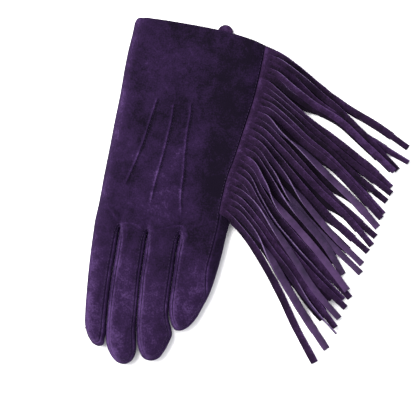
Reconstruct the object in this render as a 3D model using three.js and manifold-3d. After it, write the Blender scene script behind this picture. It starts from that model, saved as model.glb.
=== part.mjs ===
// A left-hand dress glove of soft suede, lying on its palm with the fingers towards -Y.
// The back and the palm are two panels sewn along both edges, the fingers have forked side
// strips (fourchettes) between them, the thumb lies folded flat under the palm, a long fringe
// is caught in the seam on the little finger's side, and a hanging tab is sewn inside the cuff.
// Millimetres, +Z up. The origin is on the surface under the middle of the cuff.

import * as THREE from "three";
import { mergeVertices } from "three/addons/utils/BufferGeometryUtils.js";
import Module from "manifold-3d";

const wasm = await Module();
wasm.setup();

// Driving dimensions

const WALL = 1.0; // thickness of the suede
const GAP = 0.3; // between pieces that are sewn together
const SIDE_HEIGHT = 5.4; // height of the widest line of the lying glove
const EDGE_ROUND = 9; // how far in from the outline the glove reaches its full thickness
const CUFF_THICKNESS = 13.4; // outside thickness of the lying hand and cuff
const CUFF_END = 32.6; // Y of the cuff's edge
const CROTCH = -118; // Y where the fingers part
const THUMB_THICKNESS = 6.8; // the thumb, pressed flat under the palm
const THUMB_LIFT = THUMB_THICKNESS + 0.4; // how far it lifts the palm
const PALM_SPREAD = 11; // how far beyond the thumb the palm comes down again
const BACK_SPREAD = 30; // the back, lifted with it, comes down over a longer way
const BACK_LIFT = 2.6; // how far the thumb lifts the back
const FRINGE_LENGTH = 126; // from the seam to the tips
const FRINGE_PILE = 2.8; // thickness of the lying strips
const FRINGE_STEP = 0.9; // each strip lies over the next by this much
const FRINGE_STRIPS = 27;
const COLOUR = "#33203f";

// The outline of hand and cuff, seen from above

const HAND = [
  { y: -118, left: -50.8, right: 42.2 },
  { y: -104, left: -50.2, right: 43.6 },
  { y: -70, left: -49.2, right: 44.6 },
  { y: -40, left: -48.0, right: 45.8 },
  { y: -10, left: -46.9, right: 47.6 },
  { y: 12, left: -46.2, right: 48.8 },
  { y: 44, left: -44.6, right: 50.2 },
];

// Each finger, from its root inside the hand to its tip: outline, highest and lowest height

const FINGERS = {
  index: [
    { y: -113, left: -50.3, right: -33.4, top: 12.0, low: 0.4 },
    { y: -118, left: -50.8, right: -33.0, top: 12.5, low: 0 },
    { y: -124, left: -50.7, right: -33.0, top: 11.6, low: 0 },
    { y: -140, left: -50.4, right: -33.0, top: 12.0, low: 0 },
    { y: -165, left: -48.9, right: -32.7, top: 11.6, low: 0 },
    { y: -180, left: -47.7, right: -32.0, top: 11.4, low: 0 },
    { y: -191, left: -46.0, right: -31.2, top: 10.6, low: 0 },
    { y: -197, left: -42.8, right: -31.0, top: 9.4, low: 0.8 },
    { y: -200.4, left: -39.6, right: -31.6, top: 8.0, low: 2.0 },
    { y: -202, left: -37.4, right: -33.0, top: 6.6, low: 3.8 },
  ],
  middle: [
    { y: -113, left: -31.8, right: -13.8, top: 12.0, low: 0.4 },
    { y: -118, left: -32.2, right: -13.4, top: 12.5, low: 0 },
    { y: -124, left: -32.2, right: -13.4, top: 11.8, low: 0 },
    { y: -138, left: -32.2, right: -13.4, top: 12.8, low: 0 },
    { y: -160, left: -32.0, right: -13.0, top: 12.6, low: 0 },
    { y: -184, left: -30.9, right: -11.2, top: 12.4, low: 0 },
    { y: -197, left: -29.4, right: -9.0, top: 12.0, low: 0 },
    { y: -204, left: -26.8, right: -8.3, top: 11.0, low: 0.3 },
    { y: -208.6, left: -23.8, right: -9.8, top: 9.6, low: 1.2 },
    { y: -211, left: -20.6, right: -12.4, top: 8.0, low: 2.6 },
    { y: -212.2, left: -18.2, right: -15.0, top: 6.6, low: 4.0 },
  ],
  ring: [
    { y: -113, left: -12.0, right: 8.8, top: 12.0, low: 0.4 },
    { y: -118, left: -12.4, right: 9.2, top: 12.5, low: 0 },
    { y: -124, left: -12.5, right: 9.2, top: 11.8, low: 0 },
    { y: -138, left: -12.5, right: 9.1, top: 12.8, low: 0 },
    { y: -158, left: -12.0, right: 9.2, top: 12.6, low: 0 },
    { y: -172, left: -10.4, right: 10.2, top: 12.4, low: 0 },
    { y: -184, left: -9.6, right: 14.6, top: 12.2, low: 0 },
    { y: -193, left: -8.2, right: 13.4, top: 11.8, low: 0 },
    { y: -200, left: -5.8, right: 11.2, top: 10.8, low: 0.4 },
    { y: -204, left: -3.6, right: 9.0, top: 9.4, low: 1.4 },
    { y: -206.6, left: -0.4, right: 5.2, top: 7.0, low: 3.6 },
  ],
  little: [
    { y: -113, left: 10.8, right: 42.2, top: 12.0, low: 0.4 },
    { y: -118, left: 10.4, right: 42.0, top: 12.5, low: 0 },
    { y: -124, left: 10.2, right: 41.6, top: 11.4, low: 0 },
    { y: -136, left: 9.9, right: 40.3, top: 11.8, low: 0 },
    { y: -149, left: 10.0, right: 38.0, top: 11.4, low: 0 },
    { y: -158, left: 10.1, right: 36.0, top: 11.2, low: 0 },
    { y: -168, left: 11.0, right: 32.6, top: 10.8, low: 0 },
    { y: -175, left: 12.4, right: 28.8, top: 10.0, low: 0.4 },
    { y: -180, left: 14.8, right: 25.0, top: 8.6, low: 1.6 },
    { y: -182.8, left: 17.6, right: 21.2, top: 6.6, low: 3.8 },
  ],
};

// The slits between the fingers, and where the side strips end short of each tip

const FORKS = [
  { name: "fourchette_index_middle", slit: -32.6, from: -41, to: -21, ends: [-194, -204] },
  { name: "fourchette_middle_ring", slit: -12.9, from: -21, to: -1, ends: [-204, -199] },
  { name: "fourchette_ring_little", slit: 9.8, from: -1, to: 20, ends: [-199, -175] },
];
const FORK_TOP = 7.6; // height of the seam between side strip and back
const FORK_LOW = 2.8; // and between side strip and palm
const FORK_TAPER = 22; // the side strips narrow to a point over this length

// The seam between back and palm on the little finger's side, where it lies on top

const RIGHT_SEAM = [
  { y: -158, x: 36.6 },
  { y: -150, x: 33.7 },
  { y: -138, x: 32.3 },
  { y: -119, x: 33.9 },
  { y: -96, x: 34.9 },
  { y: -74, x: 36.4 },
  { y: -50, x: 41.0 },
  { y: -25, x: 45.5 },
  { y: -8, x: 47.9 },
];
const LEFT_SEAM_INSET = 7; // on the index side the back folds under by this much

// The three raised tucks on the back of the hand, from the wrist to the knuckles

const TUCKS = [
  { from: [-18.5, -24], to: [-34, -91] },
  { from: [-8.8, -25.4], to: [-14, -101.5] },
  { from: [3.1, -22.3], to: [6.6, -87] },
];
const TUCK_WIDTH = 1.6;
const TUCK_HEIGHT = 0.8;

// The thumb as a tapered capsule in plan, and the hole through which it is sewn into the palm

const THUMB = { base: [-20, -34], baseRadius: 13, tip: [-17, -92], tipRadius: 10.5 };
const THUMB_HOLE = { x: -20, y: -36, across: 9, along: 12 };

// The fringe: strips that leave the seam and fan out. A row is one strip that guides the others

const FRINGE_GUIDES = [
  { root: [49.0, 25.4], lean: [30, -6], tip: [161, -29], pull: [-46, 19] },
  { root: [47.9, 5], lean: [28, -8], tip: [156, -50], pull: [-44, 26] },
  { root: [46.4, -15], lean: [26, -10], tip: [151, -71], pull: [-42, 28] },
  { root: [43.6, -36], lean: [26, -12], tip: [146, -96], pull: [-40, 31] },
  { root: [38.8, -58], lean: [28, -13], tip: [139, -118], pull: [-37, 34] },
  { root: [36.1, -77], lean: [30, -14], tip: [133, -150], pull: [-33, 42] },
  { root: [34.9, -96], lean: [30, -12], tip: [118, -190], pull: [-28, 46] },
];
const FRINGE_FALL = 30; // the strips reach the surface this far from the seam

const TAB = { x: 19.4, width: 11, start: 12, end: 36.2, thick: 1.4, height: 1.4, hole: 1.2 };

// Smooth interpolation of a table's column along Y: a cubic through the rows

function column(rows, y, key) {
  const sorted = [...rows].sort((a, b) => a.y - b.y);
  const last = sorted.length - 1;
  if (y <= sorted[0].y) return sorted[0][key];
  if (y >= sorted[last].y) return sorted[last][key];
  const k = sorted.findIndex((row) => row.y > y) - 1;
  const slopeAt = (i) => {
    const [a, b] = [sorted[Math.max(i - 1, 0)], sorted[Math.min(i + 1, last)]];
    return (b[key] - a[key]) / (b.y - a.y);
  };
  const [a, b] = [sorted[k], sorted[k + 1]];
  const span = b.y - a.y;
  const t = (y - a.y) / span;
  return (
    a[key] * (1 + 2 * t) * (1 - t) ** 2 +
    b[key] * t * t * (3 - 2 * t) +
    span * (slopeAt(k) * t * (1 - t) ** 2 - slopeAt(k + 1) * t * t * (1 - t))
  );
}

// How far a point of the plan lies outside the thumb

function awayFromThumb(x, y) {
  const [ax, ay] = THUMB.base;
  const [bx, by] = THUMB.tip;
  const along = ((x - ax) * (bx - ax) + (y - ay) * (by - ay)) / ((bx - ax) ** 2 + (by - ay) ** 2);
  const t = THREE.MathUtils.clamp(along, 0, 1);
  const radius = THREE.MathUtils.lerp(THUMB.baseRadius, THUMB.tipRadius, t);
  return Math.hypot(x - ax - t * (bx - ax), y - ay - t * (by - ay)) - radius;
}

function palmLift(x, y) {
  return THUMB_LIFT * (1 - THREE.MathUtils.smoothstep(awayFromThumb(x, y), 2, PALM_SPREAD));
}

function backLift(x, y) {
  return BACK_LIFT * (1 - THREE.MathUtils.smoothstep(awayFromThumb(x, y), -8, BACK_SPREAD));
}

// The shallow valleys that run from the slits up onto the hand

function valley(x, y, depth) {
  const near = 1 - THREE.MathUtils.smoothstep(y, CROTCH, CROTCH + 14);
  return depth * near * Math.max(...FORKS.map(({ slit }) => Math.exp(-(((x - slit) / 3.6) ** 2))));
}

function handTop(x, y) {
  const knuckles = 0.9 * (1 - THREE.MathUtils.smoothstep(y, CROTCH, -80));
  return CUFF_THICKNESS - knuckles + backLift(x, y) - valley(x, y, 3.2);
}

function handLow(x, y) {
  return palmLift(x, y) + valley(x, y, 1.0);
}

// One closed section across a lying tube at Y: over the top from left to right, then back below.
// inset is 0 for the outside, the wall's thickness for the inside, and negative to grow it.

function section({ y, left, right, top, low, side, round, middle }, inset) {
  const [a, b] = [left + inset, right - inset];
  const edge = Math.min(Math.max(round - inset * 0.6, 1), (b - a) * 0.49);
  const rise = (inset > 0 ? [0, 30, 60] : [0, 20, 42, 66]).map(THREE.MathUtils.degToRad);
  const edgePoints = rise.map((angle) => ({ d: edge * (1 - Math.cos(angle)), share: Math.sin(angle) }));
  const samples = edgePoints.map(({ d, share }) => ({ x: a + d, share }));
  for (let i = 0; i <= middle; i++)
    samples.push({ x: THREE.MathUtils.lerp(a + edge, b - edge, i / middle), share: 1 });
  for (const { d, share } of [...edgePoints].reverse()) samples.push({ x: b - d, share });
  const over = samples.map(({ x, share }) => {
    const height = Math.max(top(x, y) - inset, side + 0.4);
    return new THREE.Vector3(x, y, side + (height - side) * share);
  });
  const under = samples.slice(1, -1).map(({ x, share }) => {
    const height = Math.min(low(x, y) + inset, top(x, y) - inset - 0.6);
    return new THREE.Vector3(x, y, side + (height - side) * share);
  });
  return [...over, ...under.reverse()];
}

// A closed mesh through sections with the same number of points, as a solid

function loft(sections) {
  const count = sections[0].length;
  const points = sections.flat();
  const faces = [];
  for (let s = 0; s < sections.length - 1; s++)
    for (let i = 0; i < count; i++) {
      const [a, b] = [s * count + i, s * count + ((i + 1) % count)];
      faces.push([a, b, b + count], [a, b + count, a + count]);
    }
  for (const [s, turn] of [[0, false], [sections.length - 1, true]]) {
    const centre = points.length;
    points.push(sections[s].reduce((sum, p) => sum.add(p), new THREE.Vector3()).divideScalar(count));
    for (let i = 0; i < count; i++) {
      const [a, b] = [s * count + i, s * count + ((i + 1) % count)];
      faces.push(turn ? [centre, a, b] : [centre, b, a]);
    }
  }
  return solidOf(points, faces);
}

function solidOf(points, faces) {
  const mesh = (turned) =>
    new wasm.Mesh({
      numProp: 3,
      vertProperties: new Float32Array(points.flatMap((p) => [p.x, p.y, p.z])),
      triVerts: new Uint32Array(faces.flatMap(([a, b, c]) => (turned ? [a, c, b] : [a, b, c]))),
    });
  const made = new wasm.Manifold(mesh(false));
  return made.volume() > 0 ? made : new wasm.Manifold(mesh(true));
}

// A three.js geometry as a solid

function solidOfGeometry(geometry) {
  const bare = geometry.clone();
  bare.deleteAttribute("normal");
  bare.deleteAttribute("uv");
  const merged = mergeVertices(bare, 1e-4);
  return new wasm.Manifold(
    new wasm.Mesh({
      numProp: 3,
      vertProperties: merged.attributes.position.array,
      triVerts: new Uint32Array(merged.index.array),
    }),
  );
}

// An upright prism over an outline in plan

function prism(outline, low = -5, high = 40) {
  const shape = new THREE.Shape(outline.map(([x, y]) => new THREE.Vector2(x, y)));
  const geometry = new THREE.ExtrudeGeometry(shape, { depth: high - low, bevelEnabled: false });
  return solidOfGeometry(geometry.translate(0, 0, low));
}

// The block above a height given at each point of the plan

function blockAbove(height) {
  const xs = [-58, -44, -36, -29, -20, -11, -4, 4, 14, 58];
  const ys = [-222, -114, -106, -99, -88, -76, -64, -52, -40, -28, -20, -12, -4, 50];
  const rows = ys.map((y) => {
    const lower = xs.map((x) => new THREE.Vector3(x, y, height(x, y)));
    return [...lower, new THREE.Vector3(58, y, 45), new THREE.Vector3(-58, y, 45)];
  });
  return loft(rows);
}

// Hand and cuff, then the fingers, as one hollow shell with its mouth at the cuff

function handLoft(inset, ends) {
  const stations = [-112, -106, -99, -88, -76, -64, -52, -40, -28, -20, -12, -4, 8, 24];
  return loft(
    [ends[0], ...stations, ends[1]].map((y) =>
      section(
        {
          y,
          left: column(HAND, y, "left"),
          right: column(HAND, y, "right"),
          top: handTop,
          low: handLow,
          side: SIDE_HEIGHT,
          round: EDGE_ROUND,
          middle: 13,
        },
        inset,
      ),
    ),
  );
}

function fingerLoft(rows, inset) {
  const tip = rows[rows.length - 1].y;
  const end = tip + inset * 1.1;
  const stations = rows.map(({ y }) => y).filter((y) => y > end + 0.8);
  return loft(
    [...stations, end].map((y) =>
      section(
        {
          y,
          left: column(rows, y, "left"),
          right: column(rows, y, "right"),
          top: () => column(rows, y, "top"),
          low: () => column(rows, y, "low"),
          side: SIDE_HEIGHT,
          round: EDGE_ROUND,
          middle: 2,
        },
        inset,
      ),
    ),
  );
}

function cuffEdge(x) {
  const right = x > -17 ? 7 * ((x + 17) / 66) ** 3 : 0;
  const left = x < -40.5 ? 3.2 * ((x + 40.5) / 4.5) ** 2 : 0;
  return CUFF_END - right - left;
}

function gloveShell() {
  const outside = Object.values(FINGERS).reduce(
    (sum, rows) => sum.add(fingerLoft(rows, 0)),
    handLoft(0, [CROTCH, 44]),
  );
  const inside = Object.values(FINGERS).reduce(
    (sum, rows) => sum.add(fingerLoft(rows, WALL)),
    handLoft(WALL, [CROTCH + WALL, 50]),
  );
  const edge = [];
  for (let x = -60; x <= 60; x += 4) edge.push([x, cuffEdge(THREE.MathUtils.clamp(x, -46, 52))]);
  const beyond = prism([...edge, [60, 70], [-60, 70]]);
  return outside.subtract(inside).subtract(beyond);
}

// The regions of plan and height that belong to the back panel, drawn in or out by half the gap

function backRegion(grow) {
  const above = blockAbove((x, y) => SIDE_HEIGHT + 0.9 * palmLift(x, y) - grow);
  const seam = RIGHT_SEAM.map(({ x, y }) => [x + grow, y]);
  const overRight = prism([...seam, [60, RIGHT_SEAM.at(-1).y], [60, RIGHT_SEAM[0].y]]);
  const fold = [];
  for (let y = 60; y > -192; y -= 12) {
    const edge = y > CROTCH ? column(HAND, y, "left") : column(FINGERS.index, y, "left");
    fold.push([edge + LEFT_SEAM_INSET * (1 - THREE.MathUtils.smoothstep(-y, 170, 192)) + grow, y]);
  }
  const underLeft = prism([...fold, [-60, -192], [-60, 60]]);
  return above.subtract(overRight).add(underLeft);
}

// The wedge of the shell's side walls on both sides of a slit: it narrows towards the tips

function forkRegion({ slit, from, to, ends }, grow) {
  const half = (reach, x0, x1) => {
    const middle = (FORK_TOP + FORK_LOW) / 2;
    const profile = [
      [CROTCH + 3, FORK_LOW - grow],
      [reach + FORK_TAPER, FORK_LOW - grow],
      [reach - grow, middle - 0.5 - grow],
      [reach - grow, middle + 0.5 + grow],
      [reach + FORK_TAPER, FORK_TOP + grow],
      [CROTCH + 3, FORK_TOP + grow],
    ];
    const shape = new THREE.Shape(profile.map(([y, z]) => new THREE.Vector2(y, z)));
    const geometry = new THREE.ExtrudeGeometry(shape, { depth: x1 - x0, bevelEnabled: false });
    geometry.rotateX(Math.PI / 2).rotateZ(Math.PI / 2).translate(x0, 0, 0);
    return solidOfGeometry(geometry);
  };
  const over = grow > 0 ? 2 * grow : 0; // a panel also keeps clear of the strip across the slit
  return half(ends[0], from, slit + over).add(half(ends[1], slit - over, to));
}

// A raised tuck that follows the back of the hand

function tuck({ from, to }) {
  const steps = 7;
  const rows = [];
  for (let i = 0; i <= steps; i++) {
    const [x, y] = [0, 1].map((k) => THREE.MathUtils.lerp(from[k], to[k], i / steps));
    const fade = Math.min(1, i + 0.3, steps - i + 0.3);
    const [base, crest] = [handTop(x, y) - 0.6, handTop(x, y) + TUCK_HEIGHT * fade];
    const half = (TUCK_WIDTH / 2) * (0.5 + 0.5 * fade);
    rows.push([
      new THREE.Vector3(x - half, y, base),
      new THREE.Vector3(x - half * 0.6, y, crest - 0.15),
      new THREE.Vector3(x + half * 0.6, y, crest - 0.15),
      new THREE.Vector3(x + half, y, base),
    ]);
  }
  return loft(rows);
}

// The thumb: a flat pouch with its mouth in its upper wall, under the hole in the palm

function thumbLoft(inset) {
  const [high, deep] = [THUMB.base[1] + THUMB.baseRadius, THUMB.tip[1] - THUMB.tipRadius];
  const [start, end] = [high - 0.25 - inset * 1.1, deep + 0.25 + inset * 1.1];
  const steps = 11;
  const sections = [];
  for (let i = 0; i <= steps; i++) {
    const y = THREE.MathUtils.lerp(start, end, (1 - Math.cos((Math.PI * i) / steps)) / 2);
    const t = THREE.MathUtils.clamp((y - THUMB.base[1]) / (THUMB.tip[1] - THUMB.base[1]), 0, 1);
    const radius = THREE.MathUtils.lerp(THUMB.baseRadius, THUMB.tipRadius, t);
    const past = Math.max(y - THUMB.base[1], THUMB.tip[1] - y, 0);
    const half = Math.sqrt(Math.max(radius ** 2 - past ** 2, 1));
    const x = THREE.MathUtils.lerp(THUMB.base[0], THUMB.tip[0], t);
    const full = Math.min(1, half / 7);
    const middle = THUMB_THICKNESS / 2;
    sections.push(
      section(
        {
          y,
          left: x - half,
          right: x + half,
          top: () => middle + middle * full,
          low: () => middle - middle * full,
          side: middle,
          round: 5,
          middle: 2,
        },
        inset,
      ),
    );
  }
  return loft(sections);
}

function thumbHole(low, high) {
  const outline = [];
  for (let i = 0; i < 16; i++) {
    const angle = (i / 16) * 2 * Math.PI;
    outline.push([
      THUMB_HOLE.x + THUMB_HOLE.across * Math.cos(angle),
      THUMB_HOLE.y + THUMB_HOLE.along * Math.sin(angle),
    ]);
  }
  return prism(outline, low, high);
}

// The fringe as the outer form of its lying strips: a fan that comes down from the seam

function fringePoint(share, distance) {
  const place = share * (FRINGE_GUIDES.length - 1);
  const k = Math.min(Math.floor(place), FRINGE_GUIDES.length - 2);
  const mix = (key, axis) =>
    THREE.MathUtils.lerp(FRINGE_GUIDES[k][key][axis], FRINGE_GUIDES[k + 1][key][axis], place - k);
  const [root, lean, tip, pull] = ["root", "lean", "tip", "pull"].map(
    (key) => new THREE.Vector2(mix(key, 0), mix(key, 1)),
  );
  return new THREE.CubicBezierCurve(root, lean.add(root), pull.add(tip), tip).getPointAt(
    distance / FRINGE_LENGTH,
  );
}

// The height of the glove's upper surface in from its right edge

function shoulder(x, y) {
  const inward = column(HAND, y, "right") - x;
  const share = THREE.MathUtils.clamp(inward / EDGE_ROUND, 0, 1);
  return SIDE_HEIGHT + (handTop(x, y) - SIDE_HEIGHT) * Math.sqrt(1 - (1 - share) ** 2);
}

function fringeSolid() {
  const stops = [0.003, 0.04, 0.08, 0.13, 0.2, 0.3, 0.44, 0.62, 0.81, 1];
  const sections = [];
  for (let i = 0; i < FRINGE_STRIPS; i++)
    for (const [edge, overlap] of [[0.08, 0], [0.92, 1]]) {
      const length = FRINGE_LENGTH - 4 * Math.abs(Math.sin(2.4 * i));
      const at = stops.map((stop) => fringePoint((i + edge) / FRINGE_STRIPS, stop * length));
      const start = Math.max(shoulder(at[0].x, at[0].y) + GAP, SIDE_HEIGHT - 1);
      const fall = stops.map((stop) => THREE.MathUtils.smoothstep(stop * length, 0, FRINGE_FALL));
      const under = fall.map((share) => start * (1 - share));
      const over = fall.map((share, k) => {
        const pile = THREE.MathUtils.lerp(1.4, FRINGE_PILE, Math.min(1, stops[k] * 5));
        return under[k] + pile + overlap * FRINGE_STEP * Math.min(1, stops[k] * 8);
      });
      const low = at.map((p, k) => new THREE.Vector3(p.x, p.y, under[k]));
      const high = at.map((p, k) => new THREE.Vector3(p.x, p.y, over[k]));
      sections.push([...low, ...high.reverse()]);
    }
  return loft(sections).subtract(handLoft(-GAP, [CROTCH, 44]));
}

function hangingTab() {
  const half = TAB.width / 2;
  const shape = new THREE.Shape();
  shape.moveTo(TAB.x - half, TAB.start);
  shape.lineTo(TAB.x + half, TAB.start);
  shape.lineTo(TAB.x + half, TAB.end - half);
  shape.absarc(TAB.x, TAB.end - half, half, 0, Math.PI, false);
  shape.closePath();
  const hole = new THREE.Path();
  hole.absarc(TAB.x, TAB.end - 12, TAB.hole, 0, 2 * Math.PI, true);
  shape.holes.push(hole);
  const geometry = new THREE.ExtrudeGeometry(shape, {
    depth: TAB.thick,
    bevelEnabled: false,
    curveSegments: 10,
  });
  return solidOfGeometry(geometry.translate(0, 0, TAB.height));
}

// Keeps the main body of a cut piece, without slivers

function mainBody(solid) {
  return solid.decompose().sort((a, b) => b.volume() - a.volume())[0];
}

const shell = gloveShell();
const pieces = {};

let back = shell.intersect(backRegion(-GAP / 2));
let palm = shell.subtract(backRegion(GAP / 2));
for (const fork of FORKS) {
  pieces[fork.name] = mainBody(shell.intersect(forkRegion(fork, -GAP / 2)));
  back = back.subtract(forkRegion(fork, GAP / 2));
  palm = palm.subtract(forkRegion(fork, GAP / 2));
}
pieces.back_panel = mainBody(TUCKS.reduce((sum, row) => sum.add(tuck(row)), back));
pieces.palm_panel = mainBody(palm.subtract(thumbHole(5, 12)));
pieces.thumb = mainBody(thumbLoft(0).subtract(thumbLoft(WALL)).subtract(thumbHole(4, 9)));
pieces.fringe = mainBody(fringeSolid());
pieces.hanging_tab = hangingTab();

const suede = new THREE.MeshStandardMaterial({ color: COLOUR, roughness: 0.95, metalness: 0 });
const fringeSuede = new THREE.MeshStandardMaterial({ color: "#3b2748", roughness: 0.92, metalness: 0 });

const glove = new THREE.Group();
glove.name = "suede_tassel_glove";
for (const [name, solid] of Object.entries(pieces)) {
  const { vertProperties, triVerts } = solid.getMesh();
  const geometry = new THREE.BufferGeometry();
  geometry.setAttribute("position", new THREE.BufferAttribute(vertProperties, 3));
  geometry.setIndex(new THREE.BufferAttribute(triVerts, 1));
  geometry.computeVertexNormals();
  const mesh = new THREE.Mesh(geometry, name === "fringe" ? fringeSuede : suede);
  mesh.name = name;
  glove.add(mesh);
}

export default glove;
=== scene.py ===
# %% [markdown]
# # A suede dress glove with a thong fringe
#
# The glove lies on its palm on a pale surface. Its back, palm and finger strips are flat pieces of
# thin suede, sewn edge to edge, and a row of narrow suede strips is caught in the seam on the
# little finger's side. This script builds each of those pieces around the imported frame.
# Lengths are written in millimetres, because a glove's pattern is, and turned to metres at the
# end.

import math

import bmesh
import bpy
import numpy as np
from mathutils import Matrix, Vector, noise
from mathutils.geometry import delaunay_2d_cdt


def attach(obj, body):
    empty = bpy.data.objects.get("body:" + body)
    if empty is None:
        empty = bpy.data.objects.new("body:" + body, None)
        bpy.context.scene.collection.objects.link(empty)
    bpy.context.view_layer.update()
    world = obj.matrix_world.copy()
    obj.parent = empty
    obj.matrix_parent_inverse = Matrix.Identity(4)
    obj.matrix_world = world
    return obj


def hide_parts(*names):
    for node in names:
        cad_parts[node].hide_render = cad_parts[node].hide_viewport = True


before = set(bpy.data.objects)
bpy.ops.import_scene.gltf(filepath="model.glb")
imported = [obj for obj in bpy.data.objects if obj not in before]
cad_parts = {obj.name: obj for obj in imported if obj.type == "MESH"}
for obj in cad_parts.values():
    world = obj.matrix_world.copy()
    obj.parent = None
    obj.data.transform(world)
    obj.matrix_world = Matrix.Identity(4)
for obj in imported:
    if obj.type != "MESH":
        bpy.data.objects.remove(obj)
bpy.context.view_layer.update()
MM = 0.001
print("pieces of the frame:", sorted(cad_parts))

# %% [markdown]
# ## View, surface and light
#
# The camera looks straight down, turned 9 degrees about the vertical, so the cuff leans to the
# right. A long lens keeps the outline free of perspective.

# %% Camera
VIEW_CENTRE = (26.7, -93.9)
VIEW_WIDTH = 295.0
VIEW_TURN = math.radians(9)
CAMERA_HEIGHT = 1500.0
SENSOR = 36.0

lens = bpy.data.cameras.new("view")
lens.sensor_width = SENSOR
lens.lens = SENSOR * CAMERA_HEIGHT / VIEW_WIDTH
camera = bpy.data.objects.new("view", lens)
camera.location = (VIEW_CENTRE[0] * MM, VIEW_CENTRE[1] * MM, CAMERA_HEIGHT * MM)
camera.rotation_euler = (0, 0, VIEW_TURN)
bpy.context.scene.collection.objects.link(camera)
bpy.context.scene.camera = camera
bpy.context.scene.view_settings.view_transform = "Standard"
print("lens", round(lens.lens), "mm")


# %% [markdown]
# Every material is a small tree of nodes. One function adds a node with its settings and links,
# another turns a hex colour into the linear numbers that shaders use, and a third makes a
# material of the shader that it is given.

# %% Node helpers
def linear(code):
    parts = [int(code[i : i + 2], 16) / 255 for i in (1, 3, 5)]
    return tuple(p / 12.92 if p <= 0.04045 else ((p + 0.055) / 1.055) ** 2.4 for p in parts) + (1,)


def add(tree, kind, settings=None, stops=(), **links):
    """Adds a node. Settings are its properties. Links are its inputs, by name or by i and a
    number, each a value or another output. Stops are a ramp's places and colours, ends first."""
    node = tree.nodes.new(kind)
    for name, value in (settings or {}).items():
        setattr(node, name, value)
    for k, (at, colour) in enumerate(stops):
        steps = node.color_ramp.elements
        step = steps[k] if k < 2 else steps.new(at)
        step.position, step.color = at, linear(colour)
    for name, value in links.items():
        spot = int(name[1:]) if name[0] == "i" and name[1:].isdigit() else name.replace("_", " ")
        if isinstance(value, bpy.types.NodeSocket):
            tree.links.new(value, node.inputs[spot])
        else:
            node.inputs[spot].default_value = value
    return node


def new_material(name, shader, *values):
    """A material from one of the functions that add a shader to a tree."""
    material = bpy.data.materials.new(name)
    material.use_nodes = True
    tree = material.node_tree
    tree.nodes.clear()
    add(tree, "ShaderNodeOutputMaterial", Surface=shader(tree, *values).outputs[0])
    return material


print("mid grey is", round(linear("#808080")[0], 3), "in linear numbers")


# %% [markdown]
# The glove lies on plain white paper. A large lamp at the upper left gives the soft shadow at the
# lower right, a weak one fills from the other side, and an even sky lights the rest.

# %% Surface and light
def paper(tree):
    """Matte white paper: nearly all the light comes back, so it shows almost white."""
    return add(
        tree, "ShaderNodeBsdfPrincipled", Base_Color=linear("#fbfafc"), Roughness=0.9,
        Specular_IOR_Level=0.2,
    )


bpy.ops.mesh.primitive_plane_add(size=4, location=(0, 0, 0))
floor = bpy.context.object
floor.name = "surface"
floor.data.materials.append(new_material("MatteWhitePaper", paper))


def soft_light(name, across, up, height, size, power, tint):
    """A square lamp placed by the view's own directions: across and up the picture, in metres."""
    lamp = bpy.data.lights.new(name, "AREA")
    lamp.size = size
    lamp.energy = power
    lamp.color = tint
    holder = bpy.data.objects.new(name, lamp)
    c, s = math.cos(VIEW_TURN), math.sin(VIEW_TURN)
    centre = Vector((VIEW_CENTRE[0] * MM, VIEW_CENTRE[1] * MM, 0))
    holder.location = centre + Vector((c * across - s * up, s * across + c * up, height))
    holder.rotation_euler = (holder.location - centre).to_track_quat("Z", "Y").to_euler()
    bpy.context.scene.collection.objects.link(holder)


SKY_TINT = (0.97, 0.98, 1, 1)
SKY_STRENGTH = 0.72
soft_light("key", across=-0.75, up=0.45, height=1.0, size=1.1, power=50, tint=(1, 0.99, 0.97))
soft_light("fill", across=0.9, up=-0.3, height=1.0, size=1.4, power=6, tint=(0.96, 0.97, 1))
world = bpy.data.worlds.new("studio")
world.use_nodes = True
world.node_tree.nodes["Background"].inputs[0].default_value = SKY_TINT
world.node_tree.nodes["Background"].inputs[1].default_value = SKY_STRENGTH
bpy.context.scene.world = world
print("two soft lamps and an even sky")


# %% [markdown]
# ## Materials
#
# Suede is leather buffed on its flesh side until short fibres stand up. The fibres scatter light
# at grazing angles, which gives a soft pale rim, and they lean in patches, so the colour drifts
# between dark and light where a hand has brushed it. The other side of the leather is the smooth
# grain, paler and a little silky. A cut edge shows undyed fibres.

# %% Suede
# a noise's scale is 1000 over its size in millimetres
TIMES_PLUS = {"operation": "MULTIPLY_ADD"}


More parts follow.
